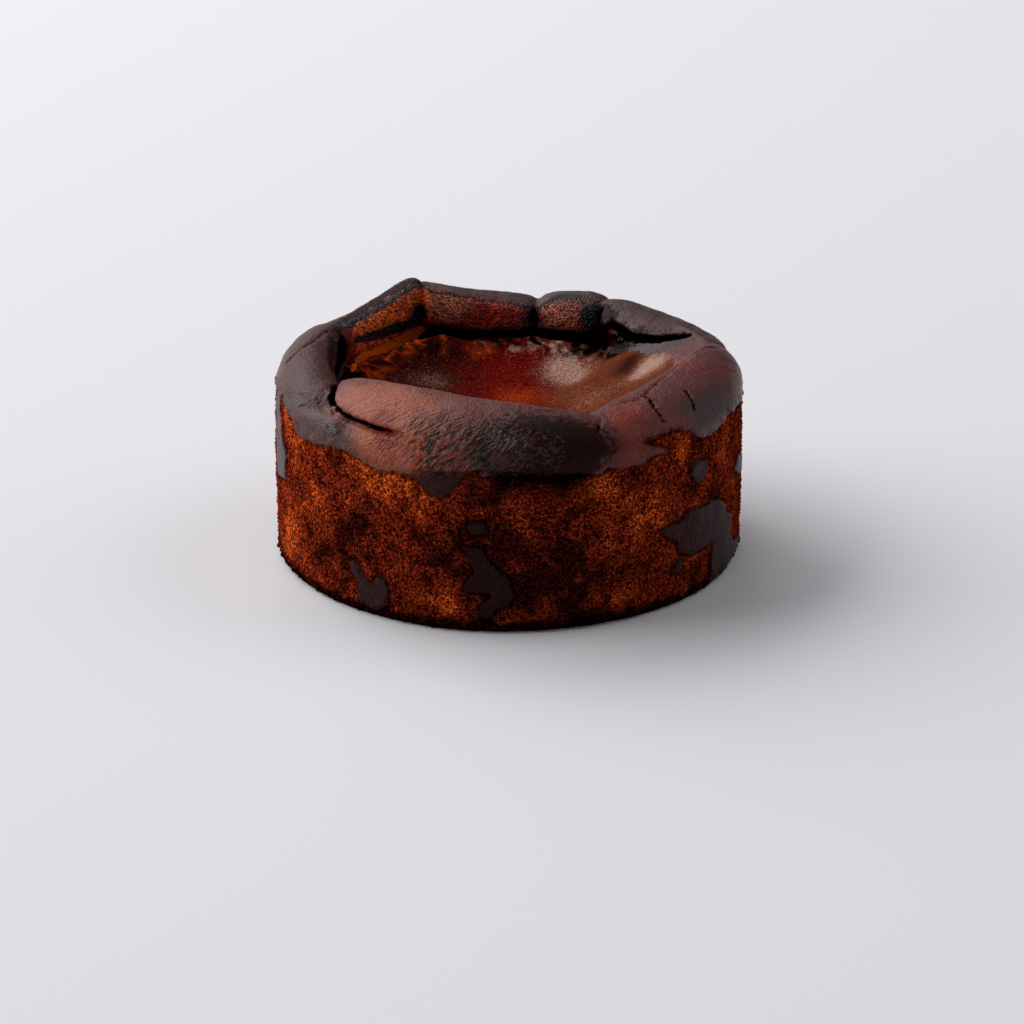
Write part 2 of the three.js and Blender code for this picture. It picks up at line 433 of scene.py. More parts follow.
# Scraps of skin left on the crumb wall: how burnt, and an outline of (bearing, height).
SCRAPS = {
    "left_strip": (0.15, [
        (184, 61), (189, 56), (190.5, 46), (192, 30), (199.3, 32), (200.2, 40), (198, 47), (197, 51),
        (194.5, 57), (188, 61),
    ]),
    "tongue": (0.4, [
        (246, 54.5), (246, 51), (249, 48.5), (251, 46.2), (254, 44.5), (256, 46), (257, 49), (259, 51.5),
        (260, 55),
    ]),
    "left_low": (0.3, [
        (229, 17.2), (231, 16.8), (231.5, 14.3), (234.8, 11.7), (237, 14), (239.2, 13.4), (239.8, 9.3),
        (239.2, 5), (237.5, 2.8), (233.3, 2.7), (230.8, 4.6), (230.3, 7.9), (231.3, 11), (228.6, 13.6),
    ]),
    "middle_top": (0.8, [(260, 37), (263.9, 37.8), (264.8, 34), (261, 32.6)]),
    "middle": (0.75, [
        (258.3, 29), (264.2, 28.9), (265, 25), (267.4, 22.1), (270, 18.8), (271, 13.6), (270.2, 10),
        (267.4, 8.3), (265.3, 5), (263.2, 5), (263, 8.4), (265.8, 13.4), (259.3, 14.2), (259.8, 17.2),
        (261.8, 20.8), (261, 25.2),
    ]),
    "right_big": (0.45, [
        (309.5, 28), (317, 28.6), (319, 31), (324.2, 29.9), (328.7, 30.5), (334, 28.7), (337, 26),
        (336.6, 23), (341, 20.5), (341, 13.6), (344, 9), (352, 7), (351, -1), (329, -1), (328.6, 4),
        (329.1, 11.2), (330, 15.6), (325.4, 16), (320.6, 15.2), (317.3, 16.9), (315.2, 20), (314.6, 22.6),
        (311.4, 24.8),
    ]),
    "right_small": (0.4, [
        (319.6, 45.9), (322.5, 46.8), (326.2, 46), (326.6, 42.6), (325.4, 40), (322.6, 38.7), (321.2, 40.8),
        (319.2, 43.2),
    ]),
    "right_edge": (0.3, [(346.6, 38), (343, 34.4), (347.8, 30.4), (353, 29), (354, 35)]),
    "right_drop": (0.6, [(316.4, 15.3), (313.9, 13.8), (313.3, 11.2), (315.5, 11.6), (317, 13.2)]),
    "side_right": (0.4, [(8, 33), (15, 37), (22, 34), (20, 27), (26, 22), (18, 16), (10, 21), (11, 28)]),
    "back_right": (0.4, [(47, 12), (55, 20), (62, 17), (64, 8), (57, -1), (46, -1)]),
    "back_high": (0.4, [(71, 43), (80, 46), (86, 41), (83, 35), (76, 33), (73, 38)]),
    "back_left": (0.4, [(108, 26), (116, 31), (124, 28), (128, 19), (121, 12), (114, 15), (110, 19)]),
    "side_left": (0.4, [(152, 41), (160, 44), (166, 38), (163, 30), (169, 23), (160, 18), (154, 27)]),
}
# A patch of bare crumb that reaches up into the crust.
CRUMB_IN_CRUST = [
    (303.3, 58.7), (305.7, 60.5), (315, 60.1), (318, 58.4), (319, 56.4), (313.6, 55.4), (305.4, 56.8),
]

# Middle of a strip of pale custard that shows under the back left roll.
CREAM_STRIP = [
    (166, 53, 57), (158, 55.5, 55.2), (150, 58.5, 53), (143, 61.4, 51.3), (135.3, 63.2, 50.9),
    (128.4, 64.4, 50.9), (124.4, 65.1, 51.7), (119.9, 65.8, 52.7), (117, 66.2, 53.4),
]

# Height of the lip under which the back rolls show their torn inside.
LIP = [
    (58, 65.8), (68, 65.4), (74, 64.6), (78.5, 63), (81, 60.8), (83, 61), (88, 62), (93, 62.9), (100, 64.2),
    (105, 65.6), (112, 67.6), (115.5, 68.9), (118.5, 70.2), (121, 69.2), (126, 66.6), (132, 64.6),
    (138, 63.4), (143, 62.9), (154, 63),
]
TORN_ROLLS = ("back_short", "back_long", "back_left")

# Fine cracks and folds in the crust: (bearing, reach, height) points, width, depth.
CRACKS = [
    ([(205, 61, 65.6), (210, 65, 65.4), (214.2, 67.9, 64.3), (217.3, 69.6, 62.6)], 1.8, 1.6),
    ([(217, 69.5, 62.8), (223.5, 71, 62.9), (229, 71.8, 63), (238, 73, 62.9), (243, 73.4, 63)], 1.3, 1.2),
    ([(182.5, 72.5, 63.4), (177.8, 67.8, 66.4), (170.4, 64.2, 67), (160, 63.3, 66.4)], 0.5, 0.6),
    ([(316.8, 59.3, 66.5), (313.6, 66.5, 65.3), (311.8, 72.2, 62.4)], 0.8, 0.4),
    ([(328.9, 65.1, 65.6), (327, 68, 64.6), (324.2, 71.9, 62.7)], 0.8, 0.5),
    ([(301, 60, 67), (296, 66, 65.6), (292.5, 71, 63.8)], 0.8, 0.5),
    ([(307, 58, 66.3), (314.3, 59.1, 66.5), (326.4, 55.6, 66.6), (339.9, 54.8, 66.7)], 0.3, 0.4),
    ([(339.9, 54.8, 66.7), (353.6, 57.1, 66.2), (363.1, 62.1, 66.2), (367.1, 67.6, 65.4)], 0.3, 0.4),
    ([
        (53, 57, 61.7), (44.4, 54, 60.9), (40, 53.2, 60.8), (32, 54.5, 61.6), (28.3, 58.5, 62.7),
        (25, 64, 63.4),
    ], 0.9, 0.8),
    ([(253.7, 76, 52.8), (263, 76, 54.2), (272.6, 76, 54), (282, 75.6, 52.6), (289.5, 75.4, 52)], 0.7, 0.8),
    ([(205, 74, 59), (208, 71.5, 61.5), (212, 69, 62.2)], 0.4, 0.6),
    ([(202, 72.5, 62), (206, 70.3, 63), (210, 68, 63.6)], 0.4, 0.6),
]

# Hollows between rolls, painted black as shade: (bearing, reach, height) points, width.
SHADED_HOLLOWS = [
    ([(157, 58.5, 61), (163, 57, 59.5), (168, 55.5, 57.5), (176, 55.5, 56.5)], 7.5),
    ([(196, 58, 58.5), (206, 61.5, 64), (212, 66, 64)], 2.6),
    ([(56, 57, 58.5), (48, 54, 57.6), (41, 52.8, 57.8), (34, 53, 58.8)], 3.4),
    ([(34, 53, 58.8), (29, 55.5, 60), (25, 60, 61.4)], 1.6),
    ([(117, 63, 51), (117, 63.5, 58), (116.6, 64, 66)], 2.2),
    ([(82, 60, 51), (82, 61, 56), (82.4, 62, 60)], 1.6),
    ([(61, 58, 52), (60, 58.5, 58), (60.5, 61, 63)], 3),
]

# Burnt edges of the crust: (bearing, reach, height) points, how far the burn spreads.
BURNT_EDGES = [
    ([
        (118.5, 68, 71), (124, 70, 68.4), (131, 70.5, 65.6), (138, 69.5, 64.4), (147, 67, 63.6),
        (156, 62.5, 64.5),
    ], 2.6),
    ([(60, 61, 65.5), (57, 60, 63), (54, 58.5, 61.5)], 3),
    ([(120, 65, 56.5), (130, 64, 56), (138, 62.5, 56.5), (147, 60.5, 57.5), (155, 58.5, 59)], 2.2),
    ([(164, 60, 65), (170, 58.5, 64), (178, 58, 63.5), (190, 58, 63)], 1.8),
]

GASH = 0.88                     # deeper in a roll than this is the inside of a split

# What each roll is tinted with, before the dabs: grey bloom, light brown, burn, rust, wet film.
# The grey bloom is partly painted sheen, the light brown partly painted highlight, the burn partly painted
# shade, and the wet film a painted highlight.
ROLL_TINTS = {
    "front": (0.05, 0.3, 0.12, 0.12, 0), "front_under": (0.8, 0.2, 0.05, 0, 0),
    "right": (0.15, 0.08, 0, 0.2, 0), "back_right": (0.7, 0.05, 0, 0.05, 0),
    "back_short": (0.7, 0, 0.2, 0.05, 0), "back_long": (0.75, 0, 0.1, 0.05, 0),
    "back_left": (0.4, 0, 0.4, 0.15, 0), "left": (0.5, 0.1, 0, 0, 0),
}
BARE_TINTS = (0.3, 0, 0, 0, 0)  # and what lies on no roll

# Dabs of one tint, of wrinkles, and of torn crumb under the back right roll: bearing, reach,
# height, size, strength.
DABS = {
    # Grey bloom on the crust, partly a painted sheen.
    "ash_and_sheen": [
        (330, 73, 60, 11, 0.6), (342, 75, 57, 9, 0.6), (322, 73, 60, 7, 0.5), (293, 74, 58, 4.5, 0.7),
        (245, 75, 53, 6, 0.5), (200, 72, 61, 12, 0.2), (285, 69, 66, 5, 0.3), (300, 76, 54, 5, -0.3),
        (238, 75, 59, 9, -0.7), (248, 75.5, 56, 6, -0.5), (221, 73, 60, 6, 0.3), (3, 66, 66, 9, 0.3),
    ],
    # Light brown on the crust, partly a painted highlight on the front roll's crest and the right roll's
    # inner slope, and painted glints on the torn back rolls.
    "tan_and_highlight": [
        (224, 66, 68, 10, 0.55), (234, 64, 69.5, 10, 0.6), (246, 63, 69.6, 8, 0.25),
        (240, 74, 59.5, 8, 0.9), (247, 75, 57, 6, 0.8), (280, 64, 68, 10, -0.4), (234, 73.5, 60, 6, 0.5),
        (8, 50, 59, 9, 0.5), (355, 50, 62, 9, 0.45), (112, 61.5, 63, 6, 1.2), (104, 61, 61, 5, 0.6),
        (75, 60, 59, 6, 0.85), (67, 60, 60, 6, 0.4), (285, 73, 60, 12, -0.4), (255, 74.5, 60, 6, 0.35),
    ],
    # Burn, and painted shade in the clefts and gaps between rolls and under the back right roll.
    "char_and_shade": [
        (262, 73, 63, 9, 0.5), (275, 73, 63, 13, 0.9), (287, 73, 61, 10, 0.85), (270, 76, 56, 8, 0.7),
        (283, 76, 55, 8, 0.9), (296, 73, 60, 5, 0.35), (57, 58, 57, 6, 1), (61, 61, 62, 4, 1),
        (118, 64, 60, 3, 1), (45, 53, 57, 5, 0.7), (170, 56, 57, 7, 1), (205, 60, 60, 5, 0.9),
        (45, 49, 55.5, 5, 0.8), (154, 51, 53, 4, -0.5), (159, 62, 65, 4, 0.7), (82, 62, 57, 2.5, 1),
        (62, 60, 60, 4, 0.9), (212, 67, 64, 3, 0.8), (20, 40, 55.5, 6, 0.6), (28, 46, 56.5, 5, 0.5),
        (250, 75, 60, 5, 0.35), (85, 64, 57, 4, 0.5), (252, 75.8, 53.5, 4, 0.5), (36, 55, 59.5, 5, 0.9),
        (28, 58, 61, 4, 0.6), (46, 53, 58, 5, 0.6), (224, 73.3, 60, 6, 0.6), (60, 54, 50, 5, 0.6),
        (92, 57, 50, 5, 0.4),
    ],
    "rust": [
        (236, 71.5, 65.5, 4.5, 1.3), (303, 66, 65, 6, 0.6), (310, 62, 66.5, 5, 0.4),
        (239, 73.8, 60, 3, 0.9), (248, 76, 54.5, 4, 0.6), (241, 75.5, 54, 4, 0.6), (47, 53, 57, 4, 0.9),
        (77, 15, 46, 11, 0.6), (105, 49, 49, 4, 0.6), (98, 50, 49, 4, 0.6), (154, 51.5, 52.5, 5, 0.9),
        (130, 64, 60, 9, 1.5), (121, 64, 65, 7, 1.4), (140, 65, 59, 7, 0.9), (345, 60, 66.6, 5, 0.3),
        (197, 76, 50, 5, 1), (212, 74, 56, 3, 0.3), (98, 62, 60, 9, 0.35), (90, 62, 60, 7, 0.2),
        (160, 61, 64, 5, 0.4), (300, 75, 59, 6, 0.35), (318, 74, 62, 5, 0.25),
    ],
    # Wet gloss, and a painted highlight film where the middle shines.
    "moist_and_highlight": [
        (60, 39, 46.5, 8, 1), (67, 46, 47, 6, 0.6), (14, 48, 59, 8, 0.9), (5, 44, 58.5, 6, 0.7),
        (20, 39, 55, 5, -1), (30, 46, 54, 5, -0.7), (5, 27, 49, 9, 0.25), (88, 50, 49, 3, 0.5),
        (80, 51, 50, 3, 0.6), (73, 52, 50, 3, 0.6), (135, 36, 47, 7, 0.3),
    ],
}
WRINKLED = [
    (247, 72, 64, 6, 0.5), (254, 74, 61, 8, 1), (263, 75, 60, 8, 1), (272, 74.5, 61, 8, 0.7),
    (250, 75, 56, 6, 0.6), (208, 68, 62, 5, 0.6), (239, 75, 57, 5, 0.35), (281, 74, 59, 7, 0.4),
    (262, 70, 66, 5, 0.4),
]
UNDER_LOBE = [(48, 53, 56.5, 6, 1), (41, 51.5, 57, 4, 1)]

# Lighter blots on the crumb wall: bearing, height, size, strength. Then darker ones.
EMBERS = [
    (227, 53, 6, 0.9), (237, 50, 9, 1.1), (246, 44, 9, 0.6), (226, 42, 7, 0.5), (199, 54, 6, 0.9),
    (204, 50, 5, 0.8), (209, 47, 5, 0.5), (199, 9, 6, 1), (303, 38, 9, 0.45), (314, 50, 5, 0.6),
    (306, 30, 9, 0.5), (318, 54, 5, 0.35), (292, 49, 6, 0.5), (300, 9, 3.5, 1), (296, 8.5, 2.5, 0.9),
    (315, 12, 3, 0.8), (323, 14, 2.5, 0.8), (274, 38.5, 4, 0.8), (277, 30, 4, 0.8), (254, 10, 5, 0.9),
    (216, 30, 6, 0.3), (203, 23, 7, 0.8), (336, 46, 8, 0.4), (342, 20, 5, 0.4), (282, 47, 7, 0.5),
    (205, 14, 7, 0.7), (210, 37, 7, 0.4), (20, 44, 8, 0.6), (40, 25, 9, 0.7), (70, 20, 8, 0.6),
    (95, 40, 9, 0.7), (132, 40, 8, 0.6), (145, 15, 8, 0.7), (172, 45, 9, 0.6), (183, 20, 8, 0.6),
]
SOOT = [
    (224, 47, 5, 0.6), (229, 24, 7, 0.6), (233, 32, 6, 0.6), (284, 24, 7, 0.7), (277, 18, 9, 0.6),
    (266, 27, 10, 0.9), (306, 19, 8, 0.5), (262, 45, 8, 0.6), (290, 15, 9, 0.5), (325, 50, 6, 0.4),
    (215, 18, 7, 0.4), (250, 27, 8, 0.4), (332, 35, 6, 0.4), (10, 10, 9, 0.5), (35, 42, 8, 0.6),
    (60, 30, 8, 0.5), (85, 12, 8, 0.6), (105, 15, 8, 0.5), (140, 28, 8, 0.6), (165, 12, 8, 0.5),
    (281, 38, 8, 0.6), (258, 20, 7, 0.6), (309, 49, 6, 0.7), (302, 49, 5, 0.4), (240, 14, 9, 0.4),
    (268, 7, 9, 0.5), (286, 7, 9, 0.5), (224, 12, 8, 0.4),
]

# Stretches round the top: middle bearing, half the spread, softening.
BACK_LEDGE = (142, 22, 12)
BACK_BAND = (72, 24, 14)
BACK_GAP_SHADE = (88, 27, 8)          # painted shade, in the gap behind the band under the back rolls
RIGHT_SLOPE = (350, 25, 12)     # inside of the right roll, which is crust
RIGHT_SEAM = (18, 10, 3)        # between the right roll and the one behind it
LEDGE_AT, BAND_AT, GAP_SHADE_AT = (53, 6), (53, 5), (63, 5)       # their reaches and widths
OUTSIDE = 67.5                  # reach past which a surface belongs to the cake's outside
ON_OUTSIDE = 6.0                # distance inside the skin given to what isn't on the wall
ROLL_SKIN = (1.04, 1.16)        # depths between which a roll's own tints fade away


def around(points):
    """Bearings as millimetres along the wall, and heights."""
    bearing, _, height = polar(points)
    return np.radians(bearing) * RADIUS, height


def distance(points, line):
    """Distance to a line of straight runs, flat or in space."""
    nearest = np.full(len(points), np.inf)
    for start, end in zip(line, line[1:]):
        run = end - start
        t = np.clip((points - start) @ run / (run @ run), 0, 1)
        nearest = np.minimum(nearest, np.linalg.norm(points - start - t[:, None] * run, axis=1))
    return nearest


def inside_outline(points, outline):
    """Signed distance to an outline on the wall: above 0 within it."""
    along, height = around(points)
    knots = np.array([*outline, outline[0]]) * (math.radians(1) * RADIUS, 1)
    inside = np.zeros(len(points), bool)
    for (ax, ay), (bx, by) in zip(knots, knots[1:]):
        if ay != by:
            crossing = (ay > height) != (by > height)
            inside ^= crossing & (along < ax + (height - ay) * (bx - ax) / (by - ay))
    return distance(np.stack([along, height], axis=-1), knots) * np.where(inside, 1, -1)


def line_distance(points, path):
    """Distance to a line through a few points, smoothed."""
    return distance(points, smooth_path(place(*np.array(path, float).T), 8 * len(path)))


def dabbed(points, dabs):
    """Soft round dabs added up."""
    total = 0
    for *spot, size, strength in dabs:
        middle = place(*map(float, spot))
        total = total + strength * np.exp(-np.sum((points - middle) ** 2, axis=1) / size**2)
    return total


def blotted(points, blots):
    return dabbed(points, [(bearing, RADIUS, *rest) for bearing, *rest in blots])


def skin_edge(points):
    """How far inside a torn edge of skin each point lies, and how burnt the scraps are."""
    bearing, reach, height = polar(points)
    torn_rim = uneven(points, (1.2, 5, 21), (0.6, 2, 22))
    edge = np.interp(bearing, *zip(*CRUST_EDGE), period=360)
    skin = (height - edge) * 0.85 + torn_rim
    burnt = np.zeros(len(points))
    for char_and_shade, outline in SCRAPS.values():
        inside = inside_outline(points, outline) + 0.5 * torn_rim
        burnt = np.maximum(burnt, char_and_shade * (inside > skin) * rise(-1.5, 0, inside))
        skin = np.maximum(skin, inside)
    skin = np.minimum(skin, -inside_outline(points, CRUMB_IN_CRUST) - torn_rim)
    return np.where((reach > OUTSIDE) & (height >= 0.5), skin, ON_OUTSIDE), burnt


def tint_shares(points, on):
    """Shares of each tint, from the rolls' own and the dabs."""
    weights = sum(on.values()) + 1e-6
    off_rolls = np.max(list(on.values()), axis=0) < 0.02
    shares = {}
    for tint, bare, *of_rolls in zip(DABS, BARE_TINTS, *ROLL_TINTS.values()):
        base = sum(share * on[name] for name, share in zip(ROLL_TINTS, of_rolls)) / weights
        shares[tint] = np.clip(np.where(off_rolls, bare, base) + dabbed(points, DABS[tint]), 0, 1)
    return shares


def basin_rims(points, basin):
    """Shares of the ragged ledge at the basin's back left, and of the torn band along its back."""
    bearing, reach, _ = polar(points)
    ledge = basin * sector(bearing, *BACK_LEDGE) * hump(reach, *LEDGE_AT)
    return ledge, basin * sector(bearing, *BACK_BAND) * hump(reach, *BAND_AT)


def open_places(points, on, lip):
    """Shares of torn curd, pale cream and sunken middle."""
    bearing, reach, height = polar(points)
    cream = 1 - rise(1.2, 2.2, line_distance(points, CREAM_STRIP) + 0.5 * bumps(points, 3, 24))
    back = np.max([on[name] for name in TORN_ROLLS], axis=0)
    torn = back * rise(-0.5, 0.5, lip - height) * (1 - rise(66.5, 68, reach))
    torn = np.maximum(torn, rise(0.45, 0.6, dabbed(points, UNDER_LOBE)) * (height < 59.5))
    basin = (1 - np.max(list(on.values()), axis=0)) * (reach < OUTSIDE) * rise(20, 30, height)
    basin = basin * (1 - sector(bearing, *RIGHT_SLOPE) * rise(50, 57, reach))
    seam = sector(bearing, *RIGHT_SEAM) * rise(59.5, 61, reach)
    return torn, cream, basin * (1 - torn * (1 - cream)) * (1 - seam)


def survey(points):
    """What every point of the cake's skin is: distances in millimetres and shares of 0 to 1."""
    bearing, reach, height = polar(points)
    depths = {name: roll_depth(points, roll) for name, roll in ROLLS.items()}
    on = {name: 1 - rise(*ROLL_SKIN, depth) for name, depth in depths.items()}
    skin, burnt = skin_edge(points)
    tint = tint_shares(points, on)
    scrap = 1.0 * (burnt > 0)
    front = ROLLS["front"]
    along = np.clip((bearing - front["from"]) / (front["to"] - front["from"]), 0, 1)
    # Painted sheen: grey bloom along the front roll's inner edge, in place of light brown, and on the
    # scraps of skin.
    sheen_on_inner_edge = on["front"] * (1 - rise(-4.5, -2, reach - through(front["ridge"], along)))
    ash_and_sheen = np.maximum(np.clip(tint["ash_and_sheen"] + 0.7 * sheen_on_inner_edge, 0, 1), 0.8 * scrap)
    lip = np.interp(bearing, *zip(*LIP)) + 0.5 * bumps(points, 3.5, 27)
    torn, cream, basin = open_places(points, on, lip)
    wrinkled = np.clip(dabbed(points, WRINKLED), 0, 1) * (skin > -1)
    ledge, band = basin_rims(points, basin)
    char_and_shade = np.where(burnt > 0, burnt, tint["char_and_shade"])
    for path, wide in BURNT_EDGES:
        near = line_distance(points, path) / wide + 0.5 * bumps(points, 3, 28)
        char_and_shade = char_and_shade + 0.9 * (1 - rise(0.4, 1.2, near))
    char_and_shade += ledge * (0.35 + 0.9 * bumps(points, 3, 25))
    char_and_shade += band * (0.45 + 1.2 * bumps(points, 2.6, 25))
    # Painted shade in the gap under the back rolls.
    low = (1 - rise(52, 55, height)) * (height > 40)
    char_and_shade += sector(bearing, *BACK_GAP_SHADE) * hump(reach, *GAP_SHADE_AT) * low
    # Painted shadow: a black line just under the back rolls' lip.
    char_and_shade += 0.8 * torn * hump(lip - height, 0.3, 0.7)
    char_and_shade += 0.75 * (reach > OUTSIDE) * (1 - rise(2.5, 5.5, height + 1.5 * bumps(points, 4, 23)))
    ragged = uneven(points, (0.45, 1.6, 18), (0.5, 4, 19))
    # Cracks drawn dark, and hollows and the insides of splits painted black as shade.
    cracks = [line_distance(points, path) - wide / 2 for path, wide, _ in CRACKS]
    hollow_shade = [line_distance(points, path) - wide / 2 + ragged for path, wide in SHADED_HOLLOWS]
    split_shade = (np.min(list(depths.values()), axis=0) - GASH) * 12
    x, y, _ = points.T
    return {
        "skin": skin, "scrap": scrap, "ash_and_sheen": ash_and_sheen, "tan_and_highlight": tint["tan_and_highlight"] * (1 - sheen_on_inner_edge),
        "rust": np.clip(tint["rust"] + ledge * (0.3 + 1.2 * bumps(points, 3.5, 26)), 0, 1),
        "char_and_shade": np.clip(char_and_shade, 0, 1) * (1 - cream) * (1 - 0.45 * wrinkled),
        # Wet gloss with a painted highlight film, and painted glints along the torn band at the back.
        "moist_and_highlight": tint["moist_and_highlight"] + band * 1.2 * bumps(points, 1.9, 26),
        "cream": cream, "torn": torn * (1 - cream), "basin": basin, "wrinkled": wrinkled,
        "crack_and_hollow_shade": np.min([*cracks, *hollow_shade, split_shade], axis=0),
        "ember": np.clip(blotted(points, EMBERS) - blotted(points, SOOT), -1, 1),
        # Custard tone across the middle, darker to the left and lighter to the right, the light end partly
        # a painted sheen.
        "custard_tone_and_sheen": np.clip(0.5 + x / 60 * (0.3 + 0.7 * rise(-35, 5, y)), 0, 1),
    }


# ---- relief in the skin

FOLD_SLANT = math.radians(38)
FOLD_SIZE = (5.5, 1.7, 9)       # along, across and into them
BASE_FLAT = 0.3                 # what lies lower stays flat


def slanted(points):
    """A random field drawn out into folds that climb to the right across the front."""
    along, height = around(points)
    cos, sin = math.cos(FOLD_SLANT), math.sin(FOLD_SLANT)
    field = [along * cos + height * sin, height * cos - along * sin, polar(points)[1]]
    return bumps(np.stack(field, axis=-1) / FOLD_SIZE, 1)


def relief(points):
    """How far each point of the skin moves along its normal."""
    found = survey(points)
    _, reach, height = polar(points)
    crust = rise(-0.3, 0.4, found["skin"])
    move = crust * uneven(points, (0.35, 11, 0), (0.18, 4.5, 1))
    move += crust * (1 - found["basin"]) * 0.07 * bumps(points, 1.8, 2)
    base = rise(0.2, 1.5, height)
    bare = (1 - crust) * base
    move += bare * (uneven(points, (0.3, 6, 4), (0.3, 2.2, 5)) - 0.55)
    move -= bare * 0.8 * rise(0.36, 0.6, bumps(points, 3.4, 6))             # pits
    foot = base * (1 - rise(3, 6, height)) * rise(70, 73, reach)
    move += foot * (0.8 * bumps(points, 3, 7) - 0.2)
    curl = hump(found["skin"], 0.7, 0.7) * rise(66, 69, reach) * rise(40, 46, height)
    move += curl * (0.25 + 0.5 * bumps(points, 2.6, 8))                     # crust's lower edge
    folds = np.clip(3 * np.abs(slanted(points)), 0, 1)
    move += found["wrinkled"] * (0.45 * folds - 0.25)
    move += found["torn"] * uneven(points, (0.3, 2.4, 9), (0.2, 1.5, 10))
    for path, wide, deep in CRACKS:
        ragged = max(wide, 0.75) * (0.7 + 0.25 * bumps(points, 1.8, 11))
        move -= deep * hump(line_distance(points, path), 0, ragged)
    move += crust * hump(found["crack_and_hollow_shade"], 0, 1.2) * 0.35 * bumps(points, 1.6, 16)
    ledge, band = basin_rims(points, found["basin"])
    move += ledge * (uneven(points, (1.0, 4.5, 12), (0.9, 2.4, 13)) - 0.3)
    move += band * (uneven(points, (1.1, 5, 14), (0.8, 2.2, 15)) + 0.4)
    return move * (height > BASE_FLAT)


def sculpt(cake):
    """Raises the relief, keeps the base flat, and collapses the flattest faces."""
    points = corners(cake.data)
    moved = points + outward(cake.data) * relief(points)[:, None]
    moved[:, 2] = np.where(points[:, 2] < BASE_FLAT, 0, np.maximum(moved[:, 2], 0))
    set_corners(cake.data, moved)
    triangles = sum(len(face.vertices) - 2 for face in cake.data.polygons)
    decimate = cake.modifiers.new("thin", "DECIMATE")
    decimate.ratio = MOST_TRIANGLES / triangles
    bake(cake)


def paint(piece, found):
    """Keeps what was surveyed on the mesh, for its materials to read."""
    for name, values in found.items():
        layer = piece.data.attributes.new(name, "FLOAT", "POINT")
        layer.data.foreach_set("value", values.astype(np.float32))


# Each finish of the cake and its specular level.
FINISHES = {
    "burnt_crust": 0.3, "wrinkled_crust": 0.26, "charred_crust": 0.06, "crumb_wall": 0.002,
    "sunken_middle": 0.003, "moist_middle": 0.2, "torn_curd": 0.3,
}
# Those that meet the torn inside of a roll.
BY_TORN = ("burnt_crust", "charred_crust", "crumb_wall", "torn_curd")


def share_out(piece, found):
    """Gives each face the finish of what it mostly is. Later ones win."""
    faces = piece.data.polygons
    first = np.empty(len(faces), int)
    faces.foreach_get("loop_start", first)
    vertex = np.empty(len(piece.data.loops), int)
    piece.data.loops.foreach_get("vertex_index", vertex)
    speckle = 0.5 * bumps(corners(piece.data), 1.1, 17)
    charred = found["char_and_shade"] - 0.4 * found["wrinkled"] + speckle > 0.55
    sunken = found["basin"] + found["cream"] > 0.5
    chosen = {
        "wrinkled_crust": (found["wrinkled"] > 0.2) & (found["char_and_shade"] + speckle > 0.3),
        "charred_crust": np.where(found["scrap"] > 0.5, found["char_and_shade"] > 0.25, charred),
        "torn_curd": found["torn"] > 0.5,
        "sunken_middle": sunken,
        "moist_middle": sunken & (found["moist_and_highlight"] + speckle > 0.6) & (found["cream"] < 0.3),
        "crumb_wall": (found["skin"] < 0) | (found["crack_and_hollow_shade"] < 0.2),
    }
    finish = np.zeros(len(faces), int)
    for name, vertices in chosen.items():
        finish[vertices[vertex[first]]] = list(FINISHES).index(name)
    faces.foreach_set("material_index", finish)
    piece.data.shade_smooth()


# ---- shader building

def tone(red, green, blue):
    """A colour given in the usual 0-255 steps, as linear light."""
    steps = [c / 255 for c in (red, green, blue)]
    return (*(c / 12.92 if c <= 0.04 else ((c + 0.055) / 1.055) ** 2.4 for c in steps), 1)


MAROON = tone(90, 26, 20)
# Grey bloom, partly a painted sheen.
ASH_AND_SHEEN = tone(52, 30, 32)
# Light brown crust, partly a painted highlight.
TAN_AND_HIGHLIGHT = tone(160, 78, 48)
RUST = tone(132, 34, 8)
# Burnt crust, partly painted shade.
CHAR_AND_SHADE = tone(34, 11, 8)
# Near black for soot, and for painted shade in furrows, pores, cracks and hollows.
SOOT_AND_SHADE_BLACK = tone(5, 2, 2)
CRUMB = tone(140, 46, 22)
CRUMB_DARK = tone(58, 17, 12)
CRUMB_EMBER = tone(210, 88, 34)
CUSTARD = tone(100, 8, 3)
CUSTARD_DARK = tone(58, 13, 9)
# Light custard, partly a painted sheen.
CUSTARD_LIGHT_AND_SHEEN = tone(106, 50, 30)
CUSTARD_AMBER = tone(170, 58, 8)
# Painted highlight on the custard.
CUSTARD_PAINTED_HIGHLIGHT = tone(176, 130, 112)
CREAM = tone(200, 84, 10)
TORN_DARK = tone(74, 13, 10)
TORN_RED = tone(164, 30, 14)
TORN_ORANGE = tone(255, 112, 46)
# Light brown of the torn rolls, painted as glints.
TORN_TAN_GLINT = tone(184, 104, 78)


